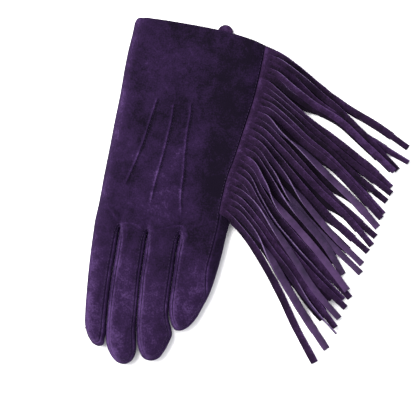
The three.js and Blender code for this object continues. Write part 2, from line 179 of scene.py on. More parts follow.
def suede(tree, dark, middle, light, patch_mm):
    """Brushed suede, made by buffing: matt, with leaning nap in patches and a soft pale rim."""
    place = add(tree, "ShaderNodeTexCoord").outputs["Object"]
    # the nap attribute holds the nap's own tone together with painted light and shade
    lean = add(tree, "ShaderNodeAttribute", {"attribute_name": "nap"}).outputs["Fac"]
    patches = add(
        tree, "ShaderNodeTexNoise", Vector=place, Scale=1000 / patch_mm, Detail=4.0, Roughness=0.6,
        Distortion=0.6,
    )
    # fibre clumps on suede are about 0.5 mm; drawn at 1.1 mm, the least that shows at this size
    clumps = add(
        tree, "ShaderNodeTexNoise", Vector=place, Scale=1000 / 1.1, Detail=3.0, Roughness=0.65
    )
    fibres = add(
        tree, "ShaderNodeTexNoise", Vector=place, Scale=1000 / 0.55, Detail=2.0, Roughness=0.7
    )
    mixed = add(tree, "ShaderNodeMath", TIMES_PLUS, i0=patches.outputs["Fac"], i1=0.4, i2=lean)
    grainy = add(
        tree, "ShaderNodeMath", TIMES_PLUS, i0=clumps.outputs["Fac"], i1=0.5, i2=mixed.outputs[0]
    )
    ramp = add(
        tree, "ShaderNodeValToRGB", stops=[(0.5, dark), (1.0, light), (0.76, middle)],
        Fac=grainy.outputs[0],
    )
    relief = add(
        tree, "ShaderNodeMath", TIMES_PLUS, i0=clumps.outputs["Fac"], i1=0.7,
        i2=fibres.outputs["Fac"],
    )
    bump = add(tree, "ShaderNodeBump", Strength=0.5, Distance=0.0004, Height=relief.outputs[0])
    return add(
        tree, "ShaderNodeBsdfPrincipled", Base_Color=ramp.outputs["Color"], Roughness=0.96,
        Specular_IOR_Level=0.05, Sheen_Weight=0.16, Sheen_Roughness=0.5,
        Sheen_Tint=linear("#7f5fa6"), Normal=bump.outputs[0],
    )


BODY_SUEDE = new_material("BrushedKidSuede", suede, "#0b0611", "#21132e", "#432f56", 9.0)
STRIP_SUEDE = new_material("BrushedKidSuedeStrip", suede, "#0b060e", "#22132b", "#412c52", 6.0)
print(BODY_SUEDE.name, "and", STRIP_SUEDE.name)


# %% Grain side, cut edge and thread
def grain_side(tree):
    """The smooth side of the same skin: paler violet, silky, with fine creases."""
    place = add(tree, "ShaderNodeTexCoord").outputs["Object"]
    # the nap attribute holds the nap's own tone together with painted light and shade
    lean = add(tree, "ShaderNodeAttribute", {"attribute_name": "nap"}).outputs["Fac"]
    patches = add(
        tree, "ShaderNodeTexNoise", Vector=place, Scale=1000 / 5, Detail=5.0, Roughness=0.7
    )
    mixed = add(tree, "ShaderNodeMath", TIMES_PLUS, i0=patches.outputs["Fac"], i1=0.7, i2=lean)
    ramp = add(
        tree, "ShaderNodeValToRGB", stops=[(0.4, "#1d1029"), (0.9, "#41294f")],
        Fac=mixed.outputs[0],
    )
    creases = add(
        tree, "ShaderNodeTexVoronoi", {"feature": "DISTANCE_TO_EDGE"}, Vector=place,
        Scale=1000 / 1.6,
    )
    bump = add(
        tree, "ShaderNodeBump", Strength=0.2, Distance=0.0002, Height=creases.outputs["Distance"]
    )
    return add(
        tree, "ShaderNodeBsdfPrincipled", Base_Color=ramp.outputs["Color"], Roughness=0.75,
        Specular_IOR_Level=0.2, Sheen_Weight=0.12, Sheen_Roughness=0.5,
        Sheen_Tint=linear("#8a6fb0"), Normal=bump.outputs[0],
    )


def cut_edge(tree):
    """The raw edge left by the blade: loose, less dyed fibres, so a pale line."""
    place = add(tree, "ShaderNodeTexCoord").outputs["Object"]
    fuzz = add(tree, "ShaderNodeTexNoise", Vector=place, Scale=1000 / 0.8, Detail=2.0)
    ramp = add(
        tree, "ShaderNodeValToRGB", stops=[(0.3, "#3a2a46"), (0.75, "#6d5b80")],
        Fac=fuzz.outputs["Fac"],
    )
    return add(
        tree, "ShaderNodeBsdfPrincipled", Base_Color=ramp.outputs["Color"], Roughness=0.95,
        Specular_IOR_Level=0.15,
    )


def silk(tree):
    """Spun silk thread, dyed to match: a little shinier than the suede it sinks into."""
    return add(
        tree, "ShaderNodeBsdfPrincipled", Base_Color=linear("#2b1a3a"), Roughness=0.7,
        Specular_IOR_Level=0.2, Sheen_Weight=0.1,
    )


GRAIN_SIDE = new_material("DyedKidGrainSide", grain_side)
RAW_EDGE = new_material("RawSuedeEdge", cut_edge)
THREAD = new_material("DyedSilkThread", silk)
print([m.name for m in bpy.data.materials])

# %% [markdown]
# ## The glove's pattern
#
# The outline seen from above is drawn as smooth lines through a few measured points: down the
# index side, round each fingertip and back up the slits, then up the little finger's side. The
# cuff's edge closes it. The seam is one line too: it starts at the index fingertip, runs up and
# down between the fingers, and ends at the cuff, and the back panel lies inside it.

# %% Outline and seam
INDEX_SIDE = [
    (-44.9, 27.4), (-45.3, 19.7), (-46.4, 7.4), (-46.9, -3.7), (-47.2, -23.8), (-48.1, -44.2),
    (-48.7, -62.8), (-49.5, -82.3), (-50.1, -103.9), (-50.8, -114), (-50.7, -126.6),
    (-50.2, -143.9), (-48.9, -165.4), (-47.8, -178.3), (-45.8, -190.5), (-42.2, -197.6),
    (-37.4, -201.8), (-33.8, -202.3), (-31.3, -200.9), (-30.8, -196.5), (-31.85, -184.4),
    (-32.75, -167), (-33.05, -151.5), (-32.85, -134), (-33.0, -117.6),
]
MIDDLE_FINGER = [
    (-32.7, -117.6), (-32.55, -134), (-32.75, -151.5), (-32.45, -167.1), (-31.5, -184.4),
    (-30.0, -197.2), (-28.0, -202.6), (-23.9, -208.4), (-19.3, -211.7), (-13.7, -211.9),
    (-9.8, -209), (-7.7, -203), (-8.5, -195.6), (-10.1, -187.4), (-11.35, -175.4),
    (-12.5, -159.1), (-13.05, -140), (-13.05, -118),
]
RING_FINGER = [
    (-12.75, -118), (-12.75, -140), (-12.4, -155), (-11.85, -163), (-11.05, -175.3),
    (-9.7, -187.4), (-7.7, -196), (-4.8, -202.6), (-1.2, -206.2), (3.6, -206.8), (9.0, -204),
    (11.7, -199.4), (14.2, -192.5), (15.6, -185.8), (14.0, -181), (11.9, -176.6),
    (10.15, -169.1), (9.7, -159.6), (9.45, -141.3), (9.15, -127.0), (9.65, -116.4),
]
LITTLE_SIDE = [
    (9.95, -116.4), (9.45, -127.0), (9.75, -141.3), (10.0, -159.6), (10.45, -168.9),
    (12.2, -175.2), (14.5, -179.9), (17.4, -182.8), (20.6, -182.7), (26.0, -179.2),
    (30.0, -173.6), (34.0, -163.5), (36.8, -155.5), (38.4, -148.5), (40.3, -136.3),
    (41.8, -122), (42.6, -110.5), (43.7, -101), (44.8, -70), (46.6, -40), (48.6, -10),
    (49.6, 12), (49.9, 25.4),
]
CUFF_EDGE = [
    (49.9, 25.4), (40, 27.9), (30, 29.6), (20, 30.8), (10, 31.5), (-17, 32.1), (-30, 31.9),
    (-39.5, 31.3), (-43.4, 30.1), (-44.9, 27.4),
]
SEAM = [
    (-46.0, -190.4), (-43.2, -194.6), (-40.4, -198.0), (-37.2, -199.5), (-34.9, -198.6),
    (-34.2, -194), (-34.6, -184), (-35.5, -167), (-35.8, -151), (-35.5, -134), (-34.9, -122),
    (-32.9, -115.2), (-30.6, -122), (-30.1, -134), (-30.3, -151), (-30.0, -167), (-29.0, -184),
    (-27.2, -197.5), (-25.3, -202.4), (-22.3, -206.8), (-18.8, -209.3), (-14.6, -209.4),
    (-11.8, -207.2), (-10.3, -202.8), (-11.3, -195.4), (-12.6, -187), (-13.3, -175.4),
    (-14.4, -161), (-15.1, -146), (-15.1, -134), (-14.9, -123), (-12.9, -115.4), (-11.0, -123),
    (-10.3, -132), (-10.4, -147.7), (-9.4, -162), (-8.6, -176), (-7.2, -187), (-5.3, -194.6),
    (-3.0, -200.2), (-0.2, -203.6), (3.6, -204.3), (7.7, -202), (10.0, -197.8), (12.4, -191.2),
    (13.4, -186.2), (12.0, -182), (9.8, -177.4), (7.7, -169.5), (7.2, -159.6), (7.0, -141),
    (7.0, -127), (7.6, -119), (9.8, -113.6), (12.2, -119), (12.1, -128), (12.3, -141),
    (12.5, -158), (13.0, -167.4), (14.3, -173.2), (16.2, -177.4), (18.6, -180.2),
    (21.0, -180.2), (25.4, -176.9), (29.0, -171.4), (32.6, -162.2), (34.6, -155.0),
    (33.4, -146.5), (32.5, -137), (33.6, -126.7), (34.8, -114.8), (35.6, -103), (35.4, -94),
    (36.0, -82), (37.0, -71), (39.8, -57), (42.2, -42), (44.4, -28), (46.4, -16), (47.8, -2),
    (48.6, 12), (49.0, 25.8),
]
LEFT_FOLD = [
    (-37.8, 40), (-38.9, 12), (-39.9, -20), (-42.0, -70), (-43.6, -110), (-43.4, -143),
    (-42.2, -168), (-42.4, -181), (-45.9, -190.2),
]


def run_of(line):
    """The distance along a line at each of its points."""
    return np.concatenate([[0], np.cumsum(np.linalg.norm(np.diff(line, axis=0), axis=1))])


def points_at(distance, run, line):
    """The points at given distances along a line."""
    return np.column_stack([np.interp(distance, run, column) for column in line.T])


def flow(points, step=0.8):
    """A smooth line through the points, with even steps: a cubic through each pair of points."""
    p = np.array(points, float)
    t = run_of(p)
    slope = np.gradient(p, t, axis=0) if len(p) > 2 else np.repeat((p[1:] - p[:1]) / t[1], 2, 0)
    line = []
    for k in range(len(p) - 1):
        u = np.linspace(0, 1, 16, endpoint=False)[:, None]
        span = t[k + 1] - t[k]
        line.append(
            (1 + 2 * u) * (1 - u) ** 2 * p[k] + u * u * (3 - 2 * u) * p[k + 1]
            + span * (u * (1 - u) ** 2 * slope[k] - u * u * (1 - u) * slope[k + 1])
        )
    line = np.vstack([*line, p[-1:]])
    run = run_of(line)
    return points_at(np.linspace(0, run[-1], max(2, round(run[-1] / step) + 1)), run, line)


side_line = np.vstack([flow(c) for c in (INDEX_SIDE, MIDDLE_FINGER, RING_FINGER, LITTLE_SIDE)])
outline = np.vstack([side_line, flow(CUFF_EDGE)[1:-1]])
seam_line = flow(SEAM, 0.7)
fold_line = flow(LEFT_FOLD, 1.2)
print("outline", len(outline), "points; seam", round(run_of(seam_line)[-1]), "mm long")


# %% [markdown]
# A glove that lies empty is a flat tube. Its surface is highest a few millimetres in from the
# outline and rounds down to the widest line there, like a quarter of an ellipse. So the height
# of any point follows from its distance to the outline. The distance counts for more in the
# forks between the fingers, where the leather turns down sharply.

# %% Distance to the outline
def smooth(value, low, high):
    t = np.clip((np.asarray(value, float) - low) / (high - low), 0, 1)
    return t * t * (3 - 2 * t)


def to_pieces(points, line):
    """From each straight piece of a line to each point: the way, and where it leaves the piece."""
    a, d = line[:-1], line[1:] - line[:-1]
    p = points[:, None, :]
    t = np.clip(((p - a) * d).sum(2) / np.maximum((d**2).sum(1), 1e-12), 0, 1)
    return p - a - t[..., None] * d, t


def to_line(points, line, widths=1.0, at_once=4000):
    """Least distance from each point to a line of straight pieces, each divided by its width."""
    best = np.empty(len(points))
    for start in range(0, len(points), at_once):
        part = slice(start, start + at_once)
        best[part] = (np.linalg.norm(to_pieces(points[part], line)[0], axis=2) / widths).min(1)
    return best


def inside(points, polygon):
    """Which points lie inside a closed polygon."""
    x, y = points[:, 0], points[:, 1]
    found = np.zeros(len(points), bool)
    for (x0, y0), (x1, y1) in zip(polygon, np.roll(polygon, -1, axis=0)):
        crossing = (y0 > y) != (y1 > y)
        if crossing.any():
            found ^= crossing & (x < (x1 - x0) * (y - y0) / (y1 - y0 + 1e-15) + x0)
    return found


# how far in from the widest line the full height is reached: on the fingers and in the forks, and
# how much more at the right and the left side of the palm
ROUND, FORK_ROUND = 8.4, 3.4
RIGHT_MORE, LEFT_MORE = 3.5, 1.2
FORK_Y = 117  # the fingers part this far down the glove
middle_x, middle_y = ((side_line[:-1] + side_line[1:]) / 2).T
in_fork = (middle_x > -38) & (middle_x < 16) & (middle_y > -160)
narrow = FORK_ROUND + (ROUND - FORK_ROUND) * smooth(-middle_y, FORK_Y, 146)
palm_part = smooth(middle_y, -130, -90)
round_width = np.where(in_fork, narrow, ROUND)
round_width = np.where(
    (middle_x > 30) & (middle_y > -130), ROUND + RIGHT_MORE * palm_part, round_width
)
round_width = np.where(middle_x < -40, ROUND + LEFT_MORE * palm_part, round_width)


def edge_share(points):
    """0 on the widest line, 1 where the surface has reached its full height."""
    return np.clip(to_line(points, side_line, round_width), 0, 1)


def quarter_round(share):
    """Height over a quarter of an ellipse, for the share of the way in from the widest line."""
    return np.sqrt(1 - (1 - share) ** 2)


print("rounding from", round(round_width.min(), 1), "to", round(round_width.max(), 1), "mm")

# %% [markdown]
# The lying glove has a low swelling over the thumb folded under the palm, creases where the
# fingers start, and three raised tucks on the back with a stitched line at their foot. Each of
# these follows a line, and its shape across the line is a row of ridges and grooves in a table.
# The soft dents of handled leather come from smooth noise with a fixed pattern.

# %% Tucks, creases and slits
TUCKS = [
    [(-20.4, -22.4), (-23.2, -39.1), (-25.5, -53.6), (-28.2, -66.4), (-34.6, -90.0)],
    [(-8.8, -24.4), (-8.4, -35.3), (-9.3, -47.9), (-10.4, -60.5), (-13.1, -82.7), (-14.2, -100.8)],
    [
        (3.1, -22.6), (3.8, -28.6), (3.7, -41.1), (4.4, -58.2), (5.7, -73.6), (6.2, -87.5),
        (9.4, -105),
    ],
]
CREASES = [
    [(-32.9, -115.4), (-27.7, -113.7), (-21.4, -114.3), (-17.1, -116.7), (-14.6, -117.9)],
    [(-10.9, -116.5), (-4.9, -114.8), (2.5, -112.1), (6.8, -110.2), (11.4, -109.9)],
    [(-45.5, -104.2), (-41.3, -106.6), (-37.6, -110.6), (-34.6, -114.1)],
]
SLITS = [
    [(-32.9, -117.6), (-32.7, -134), (-32.9, -151.5), (-32.6, -167), (-31.7, -184)],
    [(-12.9, -118), (-12.9, -140), (-12.5, -157), (-11.3, -175), (-9.9, -187)],
    [(9.8, -116.4), (9.3, -127), (9.6, -141.3), (9.9, -159.6), (10.4, -169), (12, -176)],
]
# short folds at the forks, drawn only as lines of painted highlight in the tone
PAINTED_FOLD_HIGHLIGHTS = [
    [(-14.8, -117.3), (-15.3, -122.0)], [(14.1, -112.7), (12.5, -121.0)],
    [(3.4, -111.9), (6.5, -110.6), (10.4, -110.3), (14.1, -112.7)],
]
tuck_lines, crease_lines, slit_lines, fold_highlight_lines = (
    [flow(path, step) for path in paths]
    for paths, step in ((TUCKS, 0.9), (CREASES, 1.2), (SLITS, 1.5), (PAINTED_FOLD_HIGHLIGHTS, 1.0))
)
# ridges (plus) and grooves (minus) across each kind of line: where, how wide and how high
TUCK_SECTION = [(0, 0.75, 0.8), (1.35, 0.55, -0.4), (-1.5, 0.8, -0.25)]
CREASE_SECTION = [(0, 0.9, -0.55), (2.4, 1.3, 0.25)]
SEAM_SECTION = [(0, 0.55, -0.45), (1.35, 0.6, 0.28)]
print("tucks", [round(run_of(line)[-1]) for line in tuck_lines], "mm long")


# %% Distances and noise
def bell(distance, centre, width):
    """1 at the centre, falling off smoothly to both sides."""
    return np.exp(-(((distance - centre) / width) ** 2))


def section(distance, rows):
    """The height of a table's ridges and grooves at a distance to the side of their line."""
    return sum(height * bell(distance, centre, width) for centre, width, height in rows)


def rise_and_fall(value, a, b, c, d):
    """Rises from 0 to 1 between a and b, and falls back between c and d."""
    return smooth(value, a, b) * (1 - smooth(value, c, d))


def swell(along):
    """0 at both ends of a line, 1 in its middle."""
    return np.sin(np.pi * np.clip(along, 0, 1)) ** 0.5


def beside(points, line, near_mm=6, far_mm=99.0):
    """Signed distance to the right of a line that runs down the glove, and the share along it."""
    side, along = np.full(len(points), far_mm), np.zeros(len(points))
    near = to_line(points, line) < near_mm
    off, t = to_pieces(points[near], line)
    gap = np.linalg.norm(off, axis=2)
    k = gap.argmin(1)
    rows = np.arange(len(k))
    d = (line[1:] - line[:-1])[k]
    left = np.sign(d[:, 0] * off[rows, k, 1] - d[:, 1] * off[rows, k, 0])
    side[near] = gap[rows, k] * np.where(left == 0, 1, left)
    along[near] = (k + t[rows, k]) / (len(line) - 1)
    return side, along


def waves(points, size, seed):
    """Smooth noise between about -1 and 1, with dents of a given size in millimetres."""
    shift = Vector((seed * 31.7, seed * 17.3, 0))
    spots = points[:, :2] / size
    return np.array([noise.noise(Vector((x, y, 0)) + shift) for x, y in spots])


def mixed_waves(points, rows):
    """A sum of smooth noises, each with its strength, size and seed."""
    return sum(strength * waves(points, size, seed) for strength, size, seed in rows)


print("noise at the origin", round(float(waves(np.zeros((1, 2)), 34, 1)[0]), 2))


# %% Heights
SIDE_HEIGHT = 5.4  # of the widest line
FULL_HEIGHT = 13.2  # of the back
THUMB = {"base": (-20, -34), "base_radius": 13, "tip": (-17, -92), "tip_radius": 10.5}
THUMB_HIGH = 6.8
THUMB_SWELL = 2.4  # how much higher the back is over the thumb
OVER_THUMB = 0.4  # between the thumb and the palm
# how much higher the widest line is between two fingers, and how near their slit
PRESSED_MORE, PRESSED_REACH = 3.0, 4.5
FINGER_FALLS = [(0.8, 80, 118), (0.4, 116, 130)]  # how much, from and to where down the glove
CUFF_FALL = 1.6
FORK_X = (-32.9, -12.9, 9.8)
FORK_DIP, FORK_RISE, FORK_WIDE = 1.9, 0.8, 3.4  # of the back, of the underside, half width
DENTS = [(0.75, 34, 1), (0.45, 15, 2), (0.10, 5.5, 3)]


def away_from_thumb(points):
    a, b = np.array(THUMB["base"], float), np.array(THUMB["tip"], float)
    t = np.clip(((points - a) @ (b - a)) / ((b - a) @ (b - a)), 0, 1)
    radius = THUMB["base_radius"] + t * (THUMB["tip_radius"] - THUMB["base_radius"])
    return np.linalg.norm(points - a - t[:, None] * (b - a), axis=1) - radius


def side_height(points):
    """Height of the widest line: fingers that lie side by side press flat against each other."""
    pressed = rise_and_fall(-points[:, 1], FORK_Y, 127, 158, 182)
    nearest = np.min([to_line(points, s) for s in slit_lines], axis=0)
    return SIDE_HEIGHT + PRESSED_MORE * pressed * np.exp(-((nearest / PRESSED_REACH) ** 4))


def rounded(points, full, share):
    """Height between the widest line and the full height."""
    side_z = side_height(points)
    return side_z + (full - side_z) * quarter_round(share)


def at_forks(points, start, end):
    """1 where two fingers part, falling off round it."""
    x, y = points.T
    dips = sum(bell(x, fork, FORK_WIDE) for fork in FORK_X)
    return rise_and_fall(-y, start, FORK_Y, FORK_Y, end) * dips


def top_height(points, share=None):
    """Height of the glove's upper surface."""
    points = np.asarray(points, float)
    x, y = points.T
    full = FULL_HEIGHT + THUMB_SWELL * (1 - smooth(away_from_thumb(points), -8, 30))
    full -= sum(fall * smooth(-y, start, end) for fall, start, end in FINGER_FALLS)
    full -= CUFF_FALL * smooth(y, 5, 34) * (0.6 + 0.4 * np.cos(x / 11))
    full -= FORK_DIP * at_forks(points, 96, 128)
    full += mixed_waves(points, DENTS)
    z = rounded(points, full, edge_share(points) if share is None else share)
    for line in tuck_lines:
        side, along = beside(points, line)
        z += rise_and_fall(along, 0, 0.03, 0.82, 1.0) * section(side, TUCK_SECTION)
    for line in crease_lines:
        side, along = beside(points, line)
        z += swell(along) * section(side, CREASE_SECTION)
    return z + section(to_line(points, seam_line), SEAM_SECTION)


def low_height(points, share):
    """Height of the under surface: on the table, and over the folded thumb."""
    low = (THUMB_HIGH + OVER_THUMB) * (1 - smooth(away_from_thumb(points), 2, 11))
    return rounded(points, low + FORK_RISE * at_forks(points, 100, 130), share)


print("height over the thumb", round(top_height(np.array([(-18.0, -50.0)]))[0], 1), "mm")


# %% [markdown]
# The flat pattern is cut into small triangles by a Delaunay triangulation that keeps the outline
# and the seams as edges. Rows of points lie close together where the surface turns down at the
# outline and along the tucks, and an even grid fills the rest. Keeping the seams as edges lets
# one flat net give every panel exactly.

# %% Rows and grids of points
BIN = 0.5  # points are looked up by the square they lie in, this wide


def bin_of(point):
    return int(point[0] // BIN), int(point[1] // BIN)


def thin_out(fixed, groups):
    """Keeps points that aren't too near a fixed or an earlier one, by each group's distance."""
    kept, bins = [], {}
    for p in fixed:
        bins.setdefault(bin_of(p), []).append(p)
    for points, least in groups:
        reach = range(-1 - int(least // BIN), 2 + int(least // BIN))
        for x, y in points:
            i, j = bin_of((x, y))
            close = any(
                (x - q[0]) ** 2 + (y - q[1]) ** 2 < least**2
                for a in reach
                for b in reach
                for q in bins.get((i + a, j + b), ())
            )
            if not close:
                bins.setdefault((i, j), []).append((x, y))
                kept.append((x, y))
    return kept


def unit(vectors):
    return vectors / (np.linalg.norm(vectors, axis=-1, keepdims=True) + 1e-12)


def to_left(line):
    """At each point of a line, the direction to its left."""
    along = unit(np.gradient(line, axis=0))
    return np.column_stack([-along[:, 1], along[:, 0]])


def inner_rows(line, widths, share_of, turns=9):
    """Points inwards from an outline, closer together near it."""
    found = []
    for k in range(1, turns + 1):
        share = 1 - math.cos(math.radians(90 * k / turns))
        p = line + to_left(line) * (widths * share)[:, None]
        found.append(p[share_of(p) > share - 0.02])
    return np.vstack(found)


def offset_rows(line, steps):
    return np.vstack([line + to_left(line) * s for s in steps])


def grid_inside(edge, low, high, step):
    """The points of an even grid of triangles that lie inside a closed line."""
    xs, ys = np.arange(low[0], high[0], step), np.arange(low[1], high[1], step * 0.866)
    x, y = np.meshgrid(xs, ys)
    x = x + (np.arange(len(ys)) % 2)[:, None] * step / 2
    points = np.column_stack([x.ravel(), y.ravel()])
    return points[inside(points, edge)]


def ellipse(centre, across, along, angles):
    return np.column_stack(
        [centre[0] + across * np.cos(angles), centre[1] + along * np.sin(angles)]
    )


def full_turn(count):
    return np.linspace(0, 2 * math.pi, count, endpoint=False)


def two_sides(net, top, low, on_edge):
    """The net's points at both heights, and the number of each point's twin on the under side."""
    numbers = np.arange(len(net))
    both = np.vstack([np.column_stack([net, top]), np.column_stack([net, low])])
    return both, np.where(on_edge, numbers, numbers + len(net))


# where a panel's tucks, creases and seam need rows of points, at each side of their line
TUCK_ROWS = (-2.4, -1.6, -1.0, -0.5, 0, 0.5, 0.9, 1.3, 1.7, 2.4)
CREASE_ROWS = (-1.6, -0.8, 0, 0.8, 1.6)
SEAM_ROWS = (-2.0, -1.35, -0.7, 0.7, 1.35, 2.0)
detail = [offset_rows(line, TUCK_ROWS) for line in tuck_lines]
detail = np.vstack(detail + [offset_rows(line, CREASE_ROWS) for line in crease_lines])
seam_rows = offset_rows(seam_line, SEAM_ROWS)
side_rows = inner_rows(side_line, np.append(round_width, round_width[-1]), edge_share)
print("rows of", len(detail), "and", len(seam_rows), "and", len(side_rows), "points")


# %% Flat net
def flat_net(edge, lines, points):
    """Triangles inside the closed edge that keep the edge and the lines."""
    coords, edges = [], []
    for line, closed in [(edge, True), *lines]:
        first, count = len(coords), len(line)
        coords += [Vector(p) for p in line]
        starts = range(count if closed else count - 1)
        edges += [(first + i, first + (i + 1) % count) for i in starts]
    coords += [Vector(p) for p in points]
    made = delaunay_2d_cdt(coords, edges, [], 0, 1e-5)
    flat = np.array([tuple(v) for v in made[0]])
    faces = np.array([f for f in made[2] if len(f) == 3])
    a, b, c = (flat[faces[:, k]] for k in range(3))
    area = (b[:, 0] - a[:, 0]) * (c[:, 1] - a[:, 1]) - (b[:, 1] - a[:, 1]) * (c[:, 0] - a[:, 0])
    faces = np.where((area < 0)[:, None], faces[:, ::-1], faces)
    return flat, faces[inside((a + b + c) / 3, edge) & (abs(area) > 1e-7)]


# the oval hole where the thumb opens into the palm
hole = ellipse((-20, -36), 9, 12, full_turn(59))
# the lower end of each forked strip: the slit's place, the point's place and how far down it is
STRIP_POINTS = ((-32.6, -31.9, -185), (-12.2, -10.6, -188), (10.2, 10.6, -166))
STRIP_HALF = 5.2
fork_ends = [
    np.array([(x - STRIP_HALF, end + 9), (tip, end - 2), (x + STRIP_HALF, end + 9)])
    for x, tip, end in STRIP_POINTS
]
loose = thin_out(
    np.vstack([outline, seam_line, fold_line, hole]),
    [
        (detail, 0.3), (seam_rows[inside(seam_rows, outline)], 0.45), (side_rows, 0.5),
        (grid_inside(outline, (-52, -213), (51, 34), 1.15), 0.95),
    ],
)
kept_lines = [(seam_line, False), (fold_line, False), (hole, True)]
net, net_faces = flat_net(outline, kept_lines + [(e, False) for e in fork_ends], loose)
print("net", len(net), "points", len(net_faces), "triangles")

# %% [markdown]
# ## Panels
#
# Each triangle of the flat net is used twice: once lifted to the upper surface and once lowered
# to the under surface. Where it lies in the pattern tells which piece it belongs to. The back
# panel folds under along the index side, the palm comes round over the little finger's side up
# to the seam, and the forked strips line the slits between the fingers.

# %% Sort the net into panels
BEYOND = 70  # well outside the outline
STRIP_TOP = -105
ON_LINE = 2e-3
middle = net[net_faces].mean(1)
round_back = [(BEYOND, 60), (-BEYOND, 60), (-BEYOND, seam_line[0][1])]
in_back = inside(middle, np.vstack([seam_line, round_back]))
in_fold = inside(middle, np.vstack([fold_line, [(-BEYOND, -190.2), (-BEYOND, 40)]]))
in_hole = inside(middle, hole)
in_strip = [
    ~in_back & inside(middle, np.vstack([[(e[0][0], STRIP_TOP)], e, [(e[2][0], STRIP_TOP)]]))
    for e in fork_ends
]
any_strip = in_strip[0] | in_strip[1] | in_strip[2]

share = edge_share(net)
on_side = to_line(net, side_line) < ON_LINE
share[on_side] = 0
top_z, low_z = top_height(net, share), low_height(net, share)
top_z[on_side] = low_z[on_side] = side_height(net[on_side])
points_3d, twin = two_sides(net, top_z, low_z, on_side)
low_faces = twin[net_faces][:, ::-1]
print("triangles in back, fold and strips:", in_back.sum(), in_fold.sum(), any_strip.sum())


# %% [markdown]
# The tone of the nap is a number at each point of the mesh: broad patches, and smooth noise
# between them. Some patches are brushed nap; others are painted light and shade: lighter down the
# left side and at the forks, darker on the right side, which faces away from the lamp. Lines of
# painted highlight and shade beside the left edges, the tucks, the seam and the creases are added
# to it. The material turns it into dark and light violet.

# %% Nap tone with painted light and shade
BRUSHED_NAP_AND_PAINTED_LIGHT = [
    # across, along, half width, half length, lean, how light (minus for dark)
    (-44, -60, 4, 60, 0, 0.05), (-22, -8, 16, 24, 10, 0.05), (-38, -60, 8, 40, 5, 0.03),
    (10, -60, 14, 30, -8, 0.06), (-2, -92, 26, 12, 0, 0.07), (30, -38, 15, 62, -6, -0.12),
    (30, -90, 10, 26, 0, -0.08), (6, 24, 46, 9, 0, -0.03), (-30, 20, 12, 14, 0, 0.04),
    (-42, -150, 5, 40, 0, 0.06), (-22, -165, 6, 40, 3, 0.08), (-3, -160, 5, 50, 3, 0.08),
    (24, -145, 9, 32, 4, 0.1), (-10, -75, 26, 30, 0, 0.07), (-40, 26, 14, 10, 0, 0.1),
    (12, -113, 3, 4, 0, 0.12), (-13, -114, 2.5, 4, 0, 0.1), (-33, -116, 2.5, 3, 0, 0.06),
]


# the left edge of the glove and of each finger: a band of painted highlight lies just inside each,
# where the rounded side faces the lamp at the upper left
PAINTED_HIGHLIGHT_EDGES = [
    flow(edge, 2.0)
    for edge in (INDEX_SIDE[:19], MIDDLE_FINGER[:8], RING_FINGER[:9], LITTLE_SIDE[:8])
]
NAP_WAVES = [(0.09, 21, 4), (0.05, 8, 5), (0.04, 3.4, 6)]
# painted highlight (plus) and painted shade (minus) lines beside each tuck, seam and crease, where
# their ridges catch the light and their grooves fall into shade; laid out as for heights
TUCK_PAINTED_LIGHT = [(-0.15, 0.7, 0.15), (1.6, 0.8, -0.1)]
SEAM_PAINTED_HIGHLIGHT = [(0.8, 0.5, 0.1)]
CREASE_PAINTED_HIGHLIGHT = [(0.7, 0.7, 0.15)]


# the tone of the nap, with painted light and shade added to it
def nap_and_painted_light(points):
    flat = points[:, :2]
    x, y = flat.T
    tone = 0.15 + mixed_waves(flat, NAP_WAVES) + 0.12 * smooth(-y, 108, 190)
    drift = 1 + 0.35 * waves(flat, 13, 7)
    # painted highlight inside the left edge of the glove and of each finger
    for line in PAINTED_HIGHLIGHT_EDGES:
        side, _ = beside(flat, line)
        painted_highlight = drift * 0.1 * bell(side, 2.0, 1.6) + 0.05 * bell(side, 4.5, 3.0)
        tone += np.where(side > 0, painted_highlight, 0)
    # painted highlight on each tuck's ridge and painted shade to its right
    for line in tuck_lines:
        side, along = beside(flat, line)
        tone += rise_and_fall(along, 0, 0.03, 0.86, 1.0) * section(side, TUCK_PAINTED_LIGHT)
    # painted highlight beside the seam
    tone += section(to_line(flat, seam_line), SEAM_PAINTED_HIGHLIGHT)
    # painted highlights along the creases and the folds at the forks
    for line in fold_highlight_lines + crease_lines:
        side, along = beside(flat, line)
        tone += swell(along) * section(side, CREASE_PAINTED_HIGHLIGHT)
    # patches of brushed nap, and patches of painted light and shade: lighter down the left side
    # and at the forks, darker on the right side
    for cx, cy, half, tall, lean, gain in BRUSHED_NAP_AND_PAINTED_LIGHT:
        c, s = math.cos(math.radians(lean)), math.sin(math.radians(lean))
        u, v = (x - cx) * c + (y - cy) * s, (y - cy) * c - (x - cx) * s
        tone += gain * np.exp(-((u / half) ** 2) - (v / tall) ** 2)
    return tone


print("tone of the back's middle", round(float(nap_and_painted_light(np.array([(0.0, -60.0)]))[0]), 2))


# %% [markdown]
# A piece of leather is a sheet with a thickness. Its rim is first cut back by a tenth of a
# millimetre, because two pieces that meet in a seam don't share their edge. Solidify then gives
# the wall, and puts the smooth grain on the inner side and the raw suede on the cut edge.

# %% Make a leather piece
def new_object(name, points, edges=(), faces=()):
    """A mesh object from points in millimetres."""
    mesh = bpy.data.meshes.new(name)
    mesh.from_pydata((np.asarray(points) * MM).tolist(), list(edges), list(faces))
    piece = bpy.data.objects.new(name, mesh)
    bpy.context.scene.collection.objects.link(piece)
    return piece


def new_sheet(name, points, faces, tones, suede_side):
    """A sheet with the materials of its sides and its edge, and with the tone of its nap."""
    piece = new_object(name, points, faces=faces)
    for material in (suede_side, GRAIN_SIDE, RAW_EDGE):
        piece.data.materials.append(material)
    # the tone of the nap, painted light and shade included
    nap = piece.data.attributes.new("nap", "FLOAT", "POINT")
    nap.data.foreach_set("value", np.array(tones, np.float32))
    piece.data.polygons.foreach_set("use_smooth", [True] * len(faces))
    return piece


